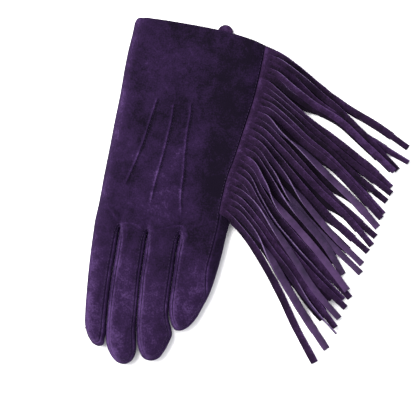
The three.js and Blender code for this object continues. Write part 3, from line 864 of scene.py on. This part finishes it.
def bake(piece):
    """Turns the object with its modifiers into a plain mesh under the same name."""
    graph = bpy.context.evaluated_depsgraph_get()
    mesh = bpy.data.meshes.new_from_object(piece.evaluated_get(graph))
    piece.modifiers.clear()
    old, name = piece.data, piece.name
    piece.data = mesh
    bpy.data.meshes.remove(old)
    mesh.name = name
    return piece


def thicken(piece, thickness, offset):
    """Walls the sheet. Its second material is the other side's and its third the cut edge's."""
    wall = piece.modifiers.new("wall", "SOLIDIFY")
    wall.thickness = thickness * MM
    wall.offset = offset
    wall.use_even_offset = False
    wall.material_offset = 1
    wall.material_offset_rim = 2
    return bake(piece)


def cut_back(points, faces, amount):
    """Moves the points on the sheet's rim inwards."""
    count = {}
    for f in faces:
        for a, b in zip(f, np.roll(f, -1)):
            key = (min(a, b), max(a, b))
            count[key] = count.get(key, 0) + 1
    rim = {v for key, n in count.items() if n == 1 for v in key}
    around = {v: [] for v in rim}
    for f in faces:
        for v in f:
            if v in around:
                around[v] += [w for w in f if w not in rim]
    moved = points.copy()
    for v, near in around.items():
        if near:
            way = points[near].mean(0) - points[v]
            moved[v] = points[v] + way * (amount / max(np.linalg.norm(way), 1e-6))
    return moved


def leather(name, points, faces, suede_side=BODY_SUEDE, thickness=1.0, tone=None, edge_in=0.12):
    """A piece of leather from some of the points: cut back a little from its seams, and walled."""
    used = np.unique(faces)
    again = np.full(len(points), -1)
    again[used] = np.arange(len(used))
    faces = again[faces]
    points = cut_back(points[used], faces, edge_in)
    tones = nap_and_painted_light(points) if tone is None else tone[used]
    return thicken(new_sheet(name, points, faces.tolist(), tones, suede_side), thickness, -1)


def place(piece, slot, *nodes):
    """The piece belongs to the glove and stands for its CAD nodes, which it hides. The slot, the
    record's finish, is not used.
    """
    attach(piece, "root")
    if nodes:
        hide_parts(*nodes)
    sides = sum(len(p.vertices) - 2 for p in piece.data.polygons)
    print(piece.name, sides, "triangles")
    return piece


back_faces = np.vstack([net_faces[in_back], low_faces[in_fold & ~any_strip]])
place(leather("back_of_glove", points_3d, back_faces), "suede", "back_panel")

# %% Palm and forked strips
palm_top, palm_low = ~in_back & ~any_strip, ~in_fold & ~any_strip & ~in_hole
palm_faces = np.vstack([low_faces[palm_low], net_faces[palm_top]])
place(leather("palm_of_glove", points_3d, palm_faces), "suede", "palm_panel")
for chosen, name in zip(in_strip, ("index_middle", "middle_ring", "ring_little")):
    faces = np.vstack([net_faces[chosen], low_faces[chosen]])
    strip = leather("side_strip_" + name, points_3d, faces, thickness=0.9)
    place(strip, "suede", "fourchette_" + name)

# %% [markdown]
# ## Thumb and hanging tab
#
# The thumb is a pouch of its own, sewn round an oval hole in the palm. On a glove laid flat it is
# pressed down under the palm, so it is built as a flat tube with rounded sides, closed all round
# but for the hole. It comes from a flat net as the glove does.

# %% Thumb pouch
THUMB_ROUND = 3.4


def two_circles(base, base_radius, tip, tip_radius):
    """The line round two circles and the straight sides between them, anticlockwise."""
    a, b = np.array(base, float), np.array(tip, float)
    apart = np.linalg.norm(b - a)
    out = ellipse((0, 0), 1, 1, full_turn(64))
    at_tip = out @ (b - a) / apart > (base_radius - tip_radius) / apart
    points = np.where(at_tip[:, None], b + out * tip_radius, a + out * base_radius)
    line = np.vstack([points, points[:1]])
    run = run_of(line)
    return points_at(np.linspace(0, run[-1], round(run[-1] / 1.3), endpoint=False), run, line)


pouch_line = two_circles(**THUMB)
pouch_ring = np.vstack([pouch_line, pouch_line[:1]])


def pouch_share(points):
    return np.clip(to_line(points, pouch_ring) / THUMB_ROUND, 0, 1)


pouch_rows = inner_rows(pouch_line, np.full(len(pouch_line), THUMB_ROUND), pouch_share, turns=6)
pouch_grid = grid_inside(pouch_line, (-36, -106), (-4, -18), 1.7)
loose = thin_out(np.vstack([pouch_line, hole]), [(pouch_rows, 0.7), (pouch_grid, 1.3)])
pouch_net, pouch_faces = flat_net(pouch_line, [(hole, True)], loose)
on_ring = to_line(pouch_net, pouch_ring) < ON_LINE
share = np.where(on_ring, 0, pouch_share(pouch_net))
bulge = THUMB_ROUND * quarter_round(share)
pouch_dents = 0.35 * share * np.maximum(0, waves(pouch_net, 12, 31))
pouch_points, pouch_twin = two_sides(
    pouch_net, THUMB_ROUND + bulge - pouch_dents, THUMB_ROUND - bulge, on_ring
)
open_faces = inside(pouch_net[pouch_faces].mean(1), hole)
pouch_shell = np.vstack([pouch_faces[~open_faces], pouch_twin[pouch_faces][:, ::-1]])
place(leather("thumb_pouch", pouch_points, pouch_shell), "suede", "thumb")

# %% [markdown]
# The hanging tab is a short tongue of the same skin with its smooth side up, sewn inside the cuff.
# Its end is cut round, and a small hole is punched in it. Its edge is a little worn, which a
# narrow bevel gives.

# %% Hanging tab
TAB_X, TAB_HALF, TAB_START, TAB_END = 19.4, 5.5, 12.0, 36.2
TAB_TOP, TAB_THICK = 2.8, 1.4
TAB_HOLE_Y, TAB_HOLE_RADIUS = 24.2, 1.2
round_end = ellipse((TAB_X, TAB_END - TAB_HALF), TAB_HALF, TAB_HALF, np.linspace(0, math.pi, 22))
left, right = (TAB_X - TAB_HALF, TAB_START), (TAB_X + TAB_HALF, TAB_START)
right_edge, left_edge = flow([right, round_end[0]]), flow([round_end[-1], left])
tab_line = np.vstack([flow([left, right]), right_edge[1:-1], round_end, left_edge[1:-1]])
tab_hole = ellipse((TAB_X, TAB_HOLE_Y), TAB_HOLE_RADIUS, TAB_HOLE_RADIUS, full_turn(24))
tab_grid = grid_inside(tab_line, (13, 11), (26, 37), 0.9)
loose = thin_out(np.vstack([tab_line, tab_hole]), [(tab_grid, 0.55)])
tab_net, tab_faces = flat_net(tab_line, [(tab_hole, True)], loose)
tab_faces = tab_faces[~inside(tab_net[tab_faces].mean(1), tab_hole)]
droop = 0.12 * waves(tab_net, 9, 41) - 0.25 * smooth(tab_net[:, 1], 28, 37)
tab_points = np.column_stack([tab_net, TAB_TOP + droop])
at_rim = np.exp(-to_line(tab_net, np.vstack([tab_line, tab_line[:1]])))
tab_tone = 0.36 + 0.1 * waves(tab_net, 6, 42) - 0.1 * at_rim
tab = leather(
    "cuff_hanging_tab", tab_points, tab_faces, STRIP_SUEDE, TAB_THICK, tone=tab_tone, edge_in=0
)
worn = tab.modifiers.new("worn edge", "BEVEL")
worn.width = 0.3 * MM
worn.segments = 2
worn.angle_limit = math.radians(50)
place(bake(tab), "tab_leather", "hanging_tab")

# %% [markdown]
# ## The fringe
#
# On the real glove one oblong of suede is cut into narrow strips that stay joined along one edge,
# and that edge is caught in the seam. The strips fan out, twist near the seam, cross each other
# and lie on the surface in a shallow pile; a few have rolled over and show the paler grain side.
# Each strip's path seen from above is a row of a table. Its height isn't: the strips are laid one
# after another on a height map of what lies there already, as they'd come to rest.

# %% Paths of the strips
STRIP_WIDTH = 4.6
STRIP_THICK = 0.8
HEADER = 6.0
# x and y of five points on the way and of the tip, from the cuff's strip to the palm's
PATHS = np.array([
    [60.6, 19.8, 74.0, 13.5, 91.0, 3.5, 110.4, -7.4, 135.5, -17.8, 160.0, -29.7],
    [60.4, 15.5, 73.9, 8.8, 91.3, -1.4, 110.6, -13.5, 132.9, -29.9, 155.3, -46.4],
    [60.2, 11.9, 73.5, 4.4, 90.2, -7.3, 110.8, -17.4, 135.9, -29.6, 162.0, -40.0],
    [58.9, 6.9, 71.4, -0.4, 88.4, -9.6, 108.4, -18.2, 130.5, -33.1, 152.8, -47.8],
    [58.2, 3.1, 70.1, -4.5, 87.3, -12.1, 107.4, -18.9, 129.3, -32.7, 150.7, -47.4],
    [57.8, -3.3, 70.3, -11.0, 87.0, -21.2, 106.7, -31.2, 130.1, -44.5, 152.6, -59.3],
    [57.4, -7.4, 70.3, -14.7, 87.1, -25.2, 106.3, -36.5, 129.7, -50.3, 153.5, -63.6],
    [57.0, -11.4, 69.8, -18.7, 86.1, -29.6, 105.2, -40.9, 127.7, -56.1, 151.1, -69.6],
    [56.8, -15.4, 70.0, -22.5, 86.6, -34.0, 105.9, -45.7, 128.1, -62.2, 150.1, -78.9],
    [56.5, -19.2, 69.5, -26.4, 86.1, -37.6, 105.5, -48.7, 127.7, -64.8, 149.1, -82.0],
    [55.4, -24.3, 67.6, -33.0, 85.1, -42.7, 103.6, -55.6, 126.2, -71.5, 147.7, -88.7],
    [55.2, -29.5, 67.9, -37.7, 83.6, -50.3, 101.3, -64.5, 123.9, -80.5, 147.2, -95.5],
    [54.8, -33.8, 67.3, -42.3, 83.4, -54.6, 101.4, -68.3, 124.2, -84.2, 145.5, -102.0],
    [54.1, -38.9, 66.0, -47.9, 81.2, -61.0, 98.4, -75.5, 120.5, -91.9, 143.5, -106.9],
    [53.6, -43.5, 65.3, -53.1, 80.3, -66.7, 97.0, -82.0, 118.2, -100.0, 140.8, -116.1],
    [53.1, -48.4, 64.3, -58.9, 78.7, -73.5, 95.6, -89.2, 117.8, -106.5, 140.9, -122.7],
    [51.7, -52.4, 62.0, -62.3, 74.9, -76.1, 91.8, -88.9, 111.6, -105.8, 128.6, -125.5],
    [51.7, -57.9, 61.7, -69.2, 74.8, -84.5, 92.2, -98.9, 113.2, -117.0, 133.2, -136.2],
    [51.2, -63.1, 61.0, -75.1, 74.5, -90.6, 92.1, -105.7, 114.0, -123.5, 136.2, -141.1],
    [50.3, -67.4, 59.7, -78.9, 72.5, -93.9, 89.1, -108.9, 109.5, -126.9, 131.4, -143.1],
    [50.0, -72.2, 59.6, -84.0, 72.6, -99.5, 89.3, -115.1, 111.0, -132.6, 133.9, -148.5],
    [48.3, -76.2, 57.1, -86.5, 68.5, -100.5, 83.2, -114.6, 101.9, -131.0, 123.2, -143.8],
    [49.2, -80.3, 61.6, -88.6, 76.0, -102.2, 91.3, -118.6, 109.6, -138.9, 130.6, -156.5],
    [48.5, -85.4, 60.0, -94.9, 73.9, -109.2, 90.3, -124.5, 109.2, -144.3, 128.9, -163.4],
    [48.0, -90.0, 59.5, -99.7, 73.2, -114.4, 89.6, -130.0, 108.7, -150.0, 130.1, -167.5],
    [47.7, -94.6, 59.6, -104.3, 73.6, -119.3, 88.1, -137.3, 106.3, -158.8, 125.4, -179.5],
    [46.2, -101.0, 57.9, -111.0, 71.5, -126.3, 85.6, -144.6, 101.5, -167.9, 118.5, -190.3],
]).reshape(-1, 6, 2)
# the numbers of the strips in the order in which they're laid
LAID_FIRST = [
    0, 2, 1, 4, 3, 5, 6, 7, 8, 9, 11, 10, 12, 13,
    15, 14, 16, 18, 17, 19, 21, 20, 23, 22, 24, 26, 25,
]
# Roll about the strip's own line, in degrees, at distances from the seam. Over 90 it has turned
# over and shows its grain side.
USUAL_ROLL = [(0, 0), (6, 4), (12, 30), (28, 32), (50, 16), (90, 5), (130, 7)]
OWN_ROLL = {
    2: [(0, 0), (6, 3), (15, 24), (30, 22), (55, 10), (100, 14), (130, 52)],
    10: [(0, 0), (6, 5), (14, 40), (26, 68), (38, 102), (52, 128), (68, 165), (130, 182)],
    14: [(0, 0), (6, 3), (18, 34), (42, 50), (58, 130), (70, 178), (130, 176)],
    15: [(0, 0), (6, 3), (18, 34), (34, 50), (48, 120), (62, 180), (130, 186)],
    16: [(0, 0), (6, 3), (20, 36), (40, 56), (56, 130), (68, 178), (130, 172)],
    17: [(0, 0), (6, 3), (16, 36), (32, 58), (46, 128), (58, 180), (130, 178)],
    19: [(0, 0), (6, 3), (15, 40), (45, 70), (70, 76), (95, 24), (130, 10)],
    22: [(0, 0), (6, 4), (14, 32), (26, 60), (36, 100), (50, 150), (62, 178), (130, 184)],
    24: [(0, 0), (6, 3), (15, 40), (40, 24), (75, 20), (95, 78), (130, 84)],
    25: [(0, 0), (6, 3), (18, 34), (32, 58), (42, 100), (56, 165), (66, 180), (130, 182)],
}

PALM_END = (35.4, -96.4)
CUFF_GAP = 0.4
seam_run = run_of(seam_line)
low_end = seam_run[np.linalg.norm(seam_line - PALM_END, axis=1).argmin()]
pitch = (seam_run[-1] - CUFF_GAP - low_end) / len(PATHS)
roots = seam_run[-1] - CUFF_GAP - (np.arange(len(PATHS)) + 0.5) * pitch


def on_seam(distance):
    return points_at(distance, seam_run, seam_line)


strip_lines = [
    flow(np.vstack([on_seam([root]), path]), 1.0) for root, path in zip(roots, PATHS)
]
lengths = [len(line) - 1 for line in strip_lines]
print("pitch", round(pitch, 2), "mm; strips from", min(lengths), "to", max(lengths), "mm long")

# %% [markdown]
# The height map holds the top of what lies in each half-millimetre square. A strip is held up by
# the highest thing under any part of its width, and between two such places it sags as far as
# its stiffness lets it, which is a parabola. Then its own top is added to the map.

# %% Height map
CELL = 0.5
MAP_LOW = np.array([28.0, -206.0])
MAP_SIZE = (290, 500)
height_map = np.zeros(MAP_SIZE)
cells = np.moveaxis(np.indices(MAP_SIZE), 0, -1)
places = (MAP_LOW + (cells + 0.5) * CELL).reshape(-1, 2)
on_glove = np.flatnonzero(inside(places, outline))
height_map.flat[on_glove] = top_height(places[on_glove])


def cell_of(points):
    found = np.floor((points - MAP_LOW) / CELL).astype(int)
    return tuple(np.clip(found[..., k], 0, MAP_SIZE[k] - 1) for k in (0, 1))


def soften(values, size):
    """Evens a row of numbers out over a few millimetres."""
    reach = int(size * 3) + 1
    kernel = np.exp(-0.5 * (np.arange(-reach, reach + 1) / size) ** 2)
    return np.convolve(np.pad(values, reach, mode="edge"), kernel / kernel.sum(), mode="valid")


print("the glove covers", len(on_glove), "cells of the map")


# %% [markdown]
# The first few millimetres of the strips are still one band. It runs straight out from the seam,
# over the seam's ridge, and bends down from there.

# %% The uncut band
ACROSS = np.array([-1, -0.84, -0.4, 0, 0.4, 0.84, 1])
COLUMNS = len(ACROSS)
ROOT_FALL = 0.012  # how fast the band bends down, in mm over the square of its run
header_way = unit(np.array([line[7] - line[0] for line in strip_lines]))
for k in (0, 1):
    header_way[:, k] = np.polyval(np.polyfit(roots, header_way[:, k], 3), roots)


def header_point(distance, outward):
    """A point of the uncut band next to the seam, in plan, and the height under it."""
    way = unit(points_at(distance, roots[::-1], header_way[::-1]))
    flat = on_seam(distance) + way * outward[:, None]
    under = top_height(flat)
    under[~inside(flat, outline)] = 0
    return flat, under


def band_part(root, run, above):
    """A strip's share of the band, in plan and height, for each point of the strip's run."""
    edge = root + ACROSS[None, :] * (pitch / 2)
    plan, under = header_point(
        np.repeat(edge, len(run), 0).ravel(), np.repeat(np.minimum(run, 14), COLUMNS)
    )
    under = under.reshape(-1, COLUMNS)
    welt = 0.5 * bell(run, 1.3, 0.9)
    z = np.maximum(under, under[:1] - ROOT_FALL * run[:, None] ** 2) + above + welt[:, None]
    return plan.reshape(-1, COLUMNS, 2), z


print("the band is", HEADER, "mm wide")


# %% Lay the strips
chance = np.random.default_rng(7)
FINE = np.linspace(-1, 1, 11)
BEND = 0.024  # how sharply a strip can bend, in mm over the square of its run
AIR, ROOT_AIR, ROW_APART = 0.06, 0.12, 0.35  # between a strip and what it lies on
SINK = 0.35  # how far a soft strip gives way over a sharp edge


def strip_waves(run, row, size, seed):
    """Smooth noise along a strip, of its own for each strip."""
    return waves(np.column_stack([run, np.full(len(run), float(row))]), size, seed)


def resting_height(run, need):
    """Height of a strip's middle line over what holds it up, sagging in between."""
    gap = run[:, None] - run[None, :]
    held = (need[None, :] - BEND * gap**2).max(1)
    return soften(np.maximum(soften(held, 2.6), need - SINK), 1.2)


def add_to_map(laid):
    """Raises the height map to the strip's upper side."""
    run = np.arange(len(laid))
    fine_run = np.linspace(0, len(run) - 1, len(run) * 3)
    dense = points_at(fine_run, run, laid.reshape(len(run), -1)).reshape(-1, COLUMNS, 3)
    for c in range(COLUMNS - 1):
        for t in (0, 0.33, 0.67, 1):
            p = dense[:, c] * (1 - t) + dense[:, c + 1] * t
            np.maximum.at(height_map, cell_of(p[:, :2]), p[:, 2] + STRIP_THICK / 2)


def lay(root, line, keys, number, level, wide=1.0):
    """One strip: from its root on the seam along its line, rolled as its keys say, at rest."""
    run = np.arange(len(line), dtype=float)
    roll = np.interp(run, [k[0] for k in keys], [k[1] for k in keys])
    roll += smooth(run, 12, 30) * chance.normal(0, 4.0)
    ripple = 8 * smooth(run, 20, 50) * strip_waves(run, number * 9, 17, 11)
    roll = np.radians(soften(roll, 3.0) + ripple)[:, None]
    half = wide * STRIP_WIDTH / 2 * (0.99 + 0.06 * strip_waves(run, number, 9, 12))
    normal = to_left(line)[:, None, :]

    def spread_out(shares):
        """Points across the strip in plan, and how far each is lifted by the roll."""
        spread = shares[None, :] * half[:, None]
        plan = line[:, None, :] + (spread * np.cos(roll))[..., None] * normal
        return plan, spread * np.sin(roll)

    flat, lift = spread_out(FINE)
    need = (height_map[cell_of(flat)] - lift).max(1) + STRIP_THICK / 2 + AIR
    arch = max(0.0, chance.normal(0.2, 0.5))
    need += arch * bell(run, chance.uniform(40, 100), 14)
    above = STRIP_THICK / 2 + ROOT_AIR + level * (STRIP_THICK + ROW_APART)
    start = top_height(line[:1])[0] + above
    need = np.maximum(need, np.where(run < 9, start - ROOT_FALL * run**2, -9))
    body, lift = spread_out(ACROSS)
    body_z = resting_height(run, need)[:, None] + lift
    band, band_z = band_part(root, run, above)
    first = smooth(run, HEADER - 1, HEADER + 7)[:, None]
    plan = band * (1 - first[..., None]) + body * first[..., None]
    z = band_z * (1 - first) + body_z * first
    slit = smooth(run, HEADER - 0.5, HEADER + 2)[:, None, None]
    centre = plan[:, 3:4]
    plan = centre + (plan - centre) * (1 - 0.035 * slit)
    laid = np.concatenate([plan, z[..., None]], -1)
    add_to_map(laid)
    return laid


# The band is folded double, so a second row of strips lies under the first. Each starts between
# two upper strips and slips under the first of them where the gap between the two opens.
OPENS = {0: 40, 4: 26, 8: 66, 9: 50, 16: 108, 17: 96, 22: 66, 23: 38, 24: 60, 25: 22}
USUALLY_OPENS = 74
UNDER_ROLL = [(0, 0), (6, 2), (15, 12), (40, 8), (130, 3)]
WIDER = {10: 1.1, 16: 1.1, 17: 1.1, 25: 1.15, 26: 1.2}
under_strips = []
for k in range(len(PATHS) - 1):
    size = min(lengths[k], lengths[k + 1])
    opens = OPENS.get(k, USUALLY_OPENS)
    run = np.arange(size, dtype=float)
    hidden = smooth(run, opens, opens + 26)[:, None]
    between = (strip_lines[k][:size] + strip_lines[k + 1][:size]) / 2
    line = (between * (1 - hidden) + strip_lines[k][:size] * hidden)[: int(size * 0.9)]
    broad = 1 + 0.3 * smooth(run[: len(line)], 10, 30)
    under_strips.append(lay((roots[k] + roots[k + 1]) / 2, line, UNDER_ROLL, 50 + k, 0, broad))
laid = {
    k: lay(roots[k], strip_lines[k], OWN_ROLL.get(k, USUAL_ROLL), k, 1, WIDER.get(k, 1.0))
    for k in LAID_FIRST
}
upper_strips = [laid[k] for k in range(len(PATHS))]
print("pile height", round(max(s[30:, :, 2].max() for s in upper_strips), 1), "mm")


# %% [markdown]
# Each row is one sheet: the strips share their points along the uncut band and are loose beyond
# it. The tone drifts along each strip. A painted highlight lies over the band's ridge by the seam
# and along the long edges, strongest on the raised edge.

# %% Fringe mesh
# across the strip: a painted highlight along the long edges, strongest on the raised one, which
# faces the light
EDGE_PAINTED_HIGHLIGHT = np.array([0.1, -0.04, -0.04, 0, 0.03, 0.08, 0.28])


def fringe_row(name, laid, tone):
    """One row of strips as a mesh, joined along the band."""
    verts, faces, tones, band = [], [], [], []
    for k, strip in enumerate(laid):
        first = len(verts)
        verts += strip.reshape(-1, 3).tolist()
        band += range(first, first + int(HEADER) * COLUMNS)
        run = np.arange(len(strip), dtype=float)
        drift = tone + smooth(run, 5, 16) * chance.normal(0, 0.07) + 0.08 * smooth(run, 50, 120)
        # the first term is a painted highlight over the band's ridge by the seam; the second
        # drifts at random
        drift += 0.13 * bell(run, 1.5, 1.8) + 0.08 * strip_waves(run, 40 * k, 12, 21)
        tones += (drift[:, None] + smooth(run, 3, 6)[:, None] * EDGE_PAINTED_HIGHLIGHT).ravel().tolist()
        for r in range(len(strip) - 1):
            for c in range(COLUMNS - 1):
                a = first + r * COLUMNS + c
                faces.append((a, a + COLUMNS, a + COLUMNS + 1, a + 1))
    piece = new_sheet(name, verts, faces, tones, STRIP_SUEDE)
    shape = bmesh.new()
    shape.from_mesh(piece.data)
    shape.verts.ensure_lookup_table()
    bmesh.ops.remove_doubles(shape, verts=[shape.verts[v] for v in band], dist=0.00003)
    shape.to_mesh(piece.data)
    shape.free()
    return place(thicken(piece, STRIP_THICK, 0), "fringe_suede", "fringe")


fringe = fringe_row("fringe_strips", upper_strips, 0.19)
# the lower row gets a darker tone: painted shade, for the shade the upper row casts on it
fringe_under = fringe_row("fringe_under_strips", under_strips, -0.02)

# %% [markdown]
# ## Stitches
#
# The tucks are held by a row of running stitches at their foot, and the finger seams are sewn
# with the edges outwards, so the same small stitches show a millimetre in from each seam. A
# Geometry Nodes tree lays one stitch after another along any line, which is how a machine does
# it. Each stitch is a short spindle, a little sunk into the suede.

# %% Stitch tree
def stitch_tree():
    tree = bpy.data.node_groups.new("RunningStitch", "GeometryNodeTree")
    sockets = {
        "Line": "Geometry", "Pitch": "Float", "Length": "Float", "Thickness": "Float",
        "Lean": "Float", "Thread": "Material",
    }
    for title, kind in sockets.items():
        tree.interface.new_socket(title, in_out="INPUT", socket_type="NodeSocket" + kind)
    tree.interface.new_socket("Stitches", in_out="OUTPUT", socket_type="NodeSocketGeometry")
    given = add(tree, "NodeGroupInput").outputs
    path = add(tree, "GeometryNodeMeshToCurve", i0=given["Line"])
    spots = add(
        tree, "GeometryNodeCurveToPoints", {"mode": "LENGTH"}, Curve=path.outputs[0],
        Length=given["Pitch"],
    )
    ball = add(tree, "GeometryNodeMeshUVSphere", Segments=8, Rings=5, Radius=0.5)
    across = add(
        tree, "ShaderNodeCombineXYZ", X=given["Length"], Y=given["Thickness"], Z=given["Thickness"]
    )
    spindle = add(
        tree, "GeometryNodeTransform", Geometry=ball.outputs[0], Scale=across.outputs[0]
    )
    forward = add(
        tree, "FunctionNodeAlignRotationToVector", {"axis": "X"}, Vector=spots.outputs["Tangent"]
    )
    less = add(tree, "ShaderNodeMath", {"operation": "MULTIPLY"}, i0=given["Lean"], i1=-1.0)
    lean = add(
        tree, "FunctionNodeRandomValue", {"data_type": "FLOAT"}, i2=less.outputs[0],
        i3=given["Lean"], Seed=5,
    )
    sideways = add(tree, "ShaderNodeCombineXYZ", Z=lean.outputs[1])
    turned = add(
        tree, "FunctionNodeRotateRotation", {"rotation_space": "LOCAL"}, i0=forward.outputs[0],
        i1=sideways.outputs[0],
    )
    row = add(
        tree, "GeometryNodeInstanceOnPoints", Points=spots.outputs["Points"],
        Instance=spindle.outputs[0], Rotation=turned.outputs[0],
    )
    real = add(tree, "GeometryNodeRealizeInstances", Geometry=row.outputs[0])
    soft = add(tree, "GeometryNodeSetShadeSmooth", Geometry=real.outputs[0])
    dyed = add(
        tree, "GeometryNodeSetMaterial", Geometry=soft.outputs[0], Material=given["Thread"]
    )
    add(tree, "NodeGroupOutput", i0=dyed.outputs[0])
    return tree


RUNNING_STITCH = stitch_tree()
print(len(RUNNING_STITCH.nodes), "nodes")


# %% Lines to sew along
SHORTEST = 12  # points in a run that is worth sewing


def sewn_runs(line, side, sink=0.04):
    """Runs of points a little to one side of a line, on the upper surface."""
    p = offset_rows(line, (side,))
    good = to_line(p, line) > 0.93 * abs(side)
    edges = np.flatnonzero(np.diff(np.concatenate([[0], good.astype(int), [0]])))
    return [
        np.column_stack([p[start:end], top_height(p[start:end]) - sink])
        for start, end in zip(edges[::2], edges[1::2])
        if end - start > SHORTEST
    ]


def sew(name, runs, thick, lean, pitch=2.3, length=1.5):
    """A row of stitches along each run, as one piece. The lean is in degrees, the rest in mm."""
    edges, first = [], 0
    for run in runs:
        edges += [(first + i, first + i + 1) for i in range(len(run) - 1)]
        first += len(run)
    piece = new_object(name, np.vstack(runs), edges=edges)
    sewing = piece.modifiers.new("sewing", "NODES")
    sewing.node_group = RUNNING_STITCH
    given = {
        "Pitch": pitch * MM, "Length": length * MM, "Thickness": thick * MM,
        "Lean": math.radians(lean), "Thread": THREAD,
    }
    for item in RUNNING_STITCH.interface.items_tree:
        if item.in_out == "INPUT" and item.name in given:
            sewing[item.identifier] = given[item.name]
    place(bake(piece), "suede")


tuck_runs = [run for line in tuck_lines for run in sewn_runs(line[3:-14], 1.15)]
sew("tuck_stitches", tuck_runs, thick=0.26, lean=4)
sew("seam_stitches", sewn_runs(seam_line[6:-6], 1.3), thick=0.28, lean=5)
